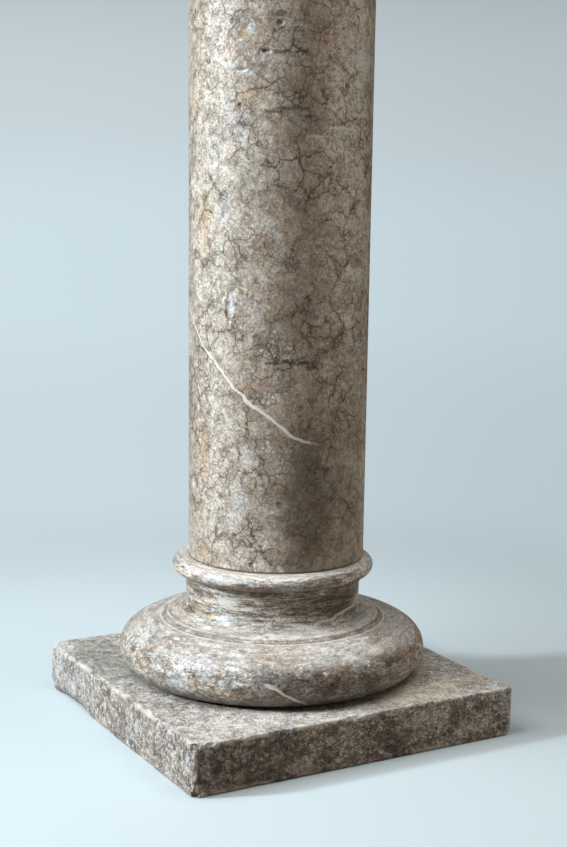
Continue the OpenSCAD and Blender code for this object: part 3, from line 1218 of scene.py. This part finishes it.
class COLUMN_OT_base(bpy.types.Operator):
    """Builds the turned base: torus, fillet, scotia, neck and astragal"""

    bl_idname = "column.base"
    bl_label = "Base Moulding"

    def execute(self, context):
        size = context.scene.column_base
        wear = context.scene.column_wear
        low = foot("base_moulding")
        high = top("base_moulding")
        edge_r = size.torus_edge_r
        edge_at = size.torus_r - edge_r
        back = size.torus_crown_r - edge_r
        crown_at = edge_at - back * math.cos(size.torus_join)
        crown_z = low + edge_r - back * math.sin(size.torus_join)
        crown_end = math.acos((size.fillet_foot_r - crown_at) / size.torus_crown_r)
        fillet_z = low + size.fillet_top
        bend = size.fillet_r - size.scotia_r
        bead = size.astragal_h / 2
        neck_top = high - size.astragal_h
        outline = Outline(0, low)
        outline.line(edge_at, low, DISC_STEP)
        outline.arc(edge_at, low + edge_r, math.pi / 2 + size.torus_join, CURVE_STEP)
        outline.arc(crown_at, crown_z, crown_end - size.torus_join, CURVE_STEP)
        outline.line(size.fillet_r, fillet_z, CURVE_STEP)
        outline.arc(size.fillet_r, fillet_z + bend, -math.pi / 2, CURVE_STEP)
        outline.line(size.scotia_r, neck_top - size.neck_h, CURVE_STEP)
        outline.line(size.neck_r, neck_top - size.neck_h)
        outline.line(size.neck_r, neck_top, CURVE_STEP)
        outline.line(size.astragal_r - bead, neck_top)
        outline.arc(size.astragal_r - bead, high - bead, math.pi, BEAD_STEP)
        outline.line(0, high, DISC_STEP)
        bm = outline.turn(axis_of("base_moulding"), wear.segments, wear.turned_edge)
        ripple(bm, wear.ripple, 50)
        piece = finish_piece("turned_base", bm, stone("wisped_marble", turned_marble))
        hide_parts("base_moulding")
        return {"FINISHED"}


class COLUMN_OT_shaft(bpy.types.Operator):
    """Builds the smooth round shaft"""

    bl_idname = "column.shaft"
    bl_label = "Shaft"

    def execute(self, context):
        size = context.scene.column_shaft
        low = foot("shaft")
        high = top("shaft")
        axis = axis_of("shaft")
        outline = Outline(0, low)
        outline.line(size.radius, low, DISC_STEP)
        outline.line(size.radius, high, size.row)
        outline.line(0, high, DISC_STEP)
        bm = outline.turn(axis, size.segments, size.edge)
        ripple(bm, context.scene.column_wear.ripple, 30)
        for degrees, height, width, tall, depth in SHAFT_PITS:
            turn = math.radians(degrees)
            outward = Vector((math.cos(turn), math.sin(turn), 0))
            pit(bm, axis + outward * size.radius + UP * height, outward, width, tall, depth)
        piece = finish_piece("round_shaft", bm, stone("veined_marble", shaft_marble))
        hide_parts("shaft")
        return {"FINISHED"}


class COLUMN_OT_capital(bpy.types.Operator):
    """Builds the turned capital: ring, necking, annulet and echinus"""

    bl_idname = "column.capital"
    bl_label = "Capital"

    def execute(self, context):
        size = context.scene.column_capital
        wear = context.scene.column_wear
        low = foot("capital")
        high = top("capital")
        bead = size.collar_h / 2
        necking_z = low + size.collar_h + size.necking_h
        outline = Outline(0, low)
        outline.line(size.collar_r - bead, low, DISC_STEP)
        outline.arc(size.collar_r - bead, low + bead, math.pi, BEAD_STEP)
        outline.line(size.necking_r, low + size.collar_h)
        outline.line(size.necking_r, necking_z, CURVE_STEP)
        outline.line(size.annulet_r, necking_z)
        outline.line(size.annulet_r, necking_z + size.annulet_h, CURVE_STEP)
        outline.arc(size.annulet_r, high, math.pi / 2, CURVE_STEP)
        outline.line(0, high, DISC_STEP)
        bm = outline.turn(axis_of("capital"), wear.segments, wear.turned_edge)
        ripple(bm, wear.ripple, 50)
        piece = finish_piece("turned_capital", bm, stone("wisped_marble", turned_marble))
        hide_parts("capital")
        return {"FINISHED"}


class COLUMN_OT_abacus(bpy.types.Operator):
    """Builds the square abacus"""

    bl_idname = "column.abacus"
    bl_label = "Abacus"

    def execute(self, context):
        bm = worn_slab("abacus", 120, 12, ABACUS_CHIPS, context.scene.column_wear)
        own = ("abacus_marble", "abacus")
        piece = finish_piece("worn_abacus", bm, stone("abacus_marble", slab_marble, *own))
        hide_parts("abacus")
        return {"FINISHED"}


class COLUMN_OT_stage(bpy.types.Operator):
    """Builds the floor with its sweep, the lights and the camera"""

    bl_idname = "column.stage"
    bl_label = "Stage"

    def execute(self, context):
        scene = context.scene
        scene.view_settings.view_transform = "Standard"
        build_sweep(scene.column_colours)
        light_column(scene.column_stage)
        place_camera(scene.column_stage)
        return {"FINISHED"}


def build_sweep(colours):
    """A round floor that sweeps up into a wall, plain and pale, all round the column."""
    floor_r = 4.2
    sweep_r = 1.2
    wall_top = 6.0
    outline = Outline(0, 0)
    outline.line(floor_r, 0, 0.25)
    outline.arc(floor_r, sweep_r, math.pi / 2, 0.15)
    outline.line(floor_r + sweep_r, wall_top, 0.5)
    bm = outline.close(96, 1e-5)
    bmesh.ops.reverse_faces(bm, faces=bm.faces)
    sweep = smooth_mesh("sweep", bm, sweep_material(colours))


def sweep_material(colours):
    """A pale matt floor near the column, darker farther out, and beyond it the background as the camera sees
    it: a painted glow, paler low down and darker higher up and to the right.
    """
    material = bpy.data.materials.new("pale_sweep")
    material.use_nodes = True
    tree = material.node_tree
    shader = tree.nodes["Principled BSDF"]
    shader.inputs["Roughness"].default_value = 0.9
    shader.inputs["Specular IOR Level"].default_value = 0.0
    seen = node("LightPath", "Is Camera Ray", {}, tree)
    place = node("TexCoord", "Object", {}, tree)
    height = parts_of(place)[2]
    reach = length_of(vector_maths("MULTIPLY", place, (1, 1, 0)))
    lit = blend(ramp(reach, 0.24, 0.55), colours.floor, colours.floor_outer)
    fill(shader.inputs["Base Color"], blend(seen, colours.floor_bounce, lit))
    background = colours.floor_near
    for along, start, end, colour_there in (
        (reach, 0.33, 0.56, colours.floor_band),
        (reach, 0.56, 1, colours.floor_far),
        (reach, 1.4, 4.6, colours.wall_low),
        (height, 0.25, 1, colours.wall_high),
        (height, 0.9, 1.6, colours.wall_top),
    ):
        background = blend(ramp(along, start, end), background, colour_there)
    side = vector_maths("DOT_PRODUCT", place, (0.87, -0.49, 0), "Value") / (reach + 0.5)
    background = blend(ramp(side, -0.2, 0.3), background, colours.dim_side, "MULTIPLY")
    glow = node("Emission", 0, {"Color": background, "Strength": 1})
    lit_floor = Wire(shader.outputs["BSDF"])
    shown = node("MixShader", 0, {0: seen * ramp(reach, 0.36, 0.85), 1: lit_floor, 2: glow})
    fill(tree.nodes["Material Output"].inputs["Surface"], shown)
    return material


def add_lamp(name, power, place, aim, width, height, tint):
    """A soft rectangular lamp at a place, aimed at a point."""
    lamp = bpy.data.lights.new(name, "AREA")
    lamp.shape = "RECTANGLE"
    lamp.size = width
    lamp.size_y = height
    lamp.energy = power
    lamp.color = tint
    made = bpy.data.objects.new(name, lamp)
    made.location = place
    made.rotation_euler = (Vector(aim) - Vector(place)).to_track_quat("-Z", "Y").to_euler()
    made.visible_camera = False
    bpy.context.scene.collection.objects.link(made)


def light_column(settings):
    """A key light on the left, soft light overhead, and weak fills on the right and behind."""
    centre = (0, 0, 0.35)
    low = (0, 0, 0.1)
    white = (1, 1, 1)
    add_lamp("key", settings.key, (-2.06, 0.52, 1.16), centre, 0.2, 0.35, (0.85, 0.94, 1))
    add_lamp("sky_left", settings.sky_left, (-1.2, 0.2, 2.1), low, 1.6, 1.6, white)
    add_lamp("sky_right", settings.sky_right, (0.7, -0.5, 2.3), low, 1.2, 1.2, (1, 0.98, 0.94))
    add_lamp("fill", settings.fill, (1.1, -1.6, 0.9), centre, 0.8, 1.4, (1, 0.86, 0.7))
    add_lamp("back", settings.back, (0.6, 2.2, 1.2), centre, 1.5, 1.5, white)
    world = bpy.data.worlds.new("even_light")
    world.use_nodes = True
    background = world.node_tree.nodes["Background"]
    background.inputs["Color"].default_value = (0.95, 0.98, 1, 1)
    background.inputs["Strength"].default_value = settings.ambient
    bpy.context.scene.world = world


def place_camera(settings):
    """The camera, low in front of the column's left front corner, looking a little down."""
    lens = bpy.data.cameras.new("camera")
    lens.sensor_width = 36
    lens.lens = settings.lens
    lens.shift_y = settings.rise
    camera = bpy.data.objects.new("camera", lens)
    turn = Matrix.Rotation(-settings.yaw, 4, "Z")
    tilt = Matrix.Rotation(math.pi / 2 - settings.pitch, 4, "X")
    roll = Matrix.Rotation(settings.roll, 4, "Z")
    camera.matrix_world = Matrix.Translation(CAMERA_AT) @ turn @ tilt @ roll
    bpy.context.scene.collection.objects.link(camera)
    bpy.context.scene.camera = camera


class COLUMN_PT_panel(bpy.types.Panel):
    """Lists the column's pieces and settings"""

    bl_idname = "COLUMN_PT_panel"
    bl_label = "Marble Column"
    bl_space_type = "VIEW_3D"
    bl_region_type = "UI"
    bl_category = "Column"

    def draw(self, context):
        layout = self.layout
        for operator in OPERATORS:
            layout.operator(operator.bl_idname)
        for name in SETTINGS:
            box = layout.box()
            group = getattr(context.scene, name)
            for item in group.bl_rna.properties:
                if item.identifier not in ("rna_type", "name"):
                    box.prop(group, item.identifier)


OPERATORS = (
    COLUMN_OT_plinth,
    COLUMN_OT_base,
    COLUMN_OT_shaft,
    COLUMN_OT_capital,
    COLUMN_OT_abacus,
    COLUMN_OT_stage,
)
SETTINGS = {
    "column_base": ColumnBaseSettings,
    "column_shaft": ColumnShaftSettings,
    "column_capital": ColumnCapitalSettings,
    "column_wear": ColumnWearSettings,
    "column_colours": ColumnColourSettings,
    "column_stage": ColumnStageSettings,
}


def register():
    for group in SETTINGS.values():
        bpy.utils.register_class(group)
    for name, group in SETTINGS.items():
        setattr(bpy.types.Scene, name, bpy.props.PointerProperty(type=group))
    for operator in OPERATORS:
        bpy.utils.register_class(operator)
    bpy.utils.register_class(COLUMN_PT_panel)


def unregister():
    bpy.utils.unregister_class(COLUMN_PT_panel)
    for operator in reversed(OPERATORS):
        bpy.utils.unregister_class(operator)
    for name in SETTINGS:
        delattr(bpy.types.Scene, name)
    for group in reversed(list(SETTINGS.values())):
        bpy.utils.unregister_class(group)


def main():
    register()
    for build in EFFECTS:
        build()
    bpy.ops.column.plinth()
    bpy.ops.column.base()
    bpy.ops.column.shaft()
    bpy.ops.column.capital()
    bpy.ops.column.abacus()
    bpy.ops.column.stage()


if __name__ == "__main__":
    main()
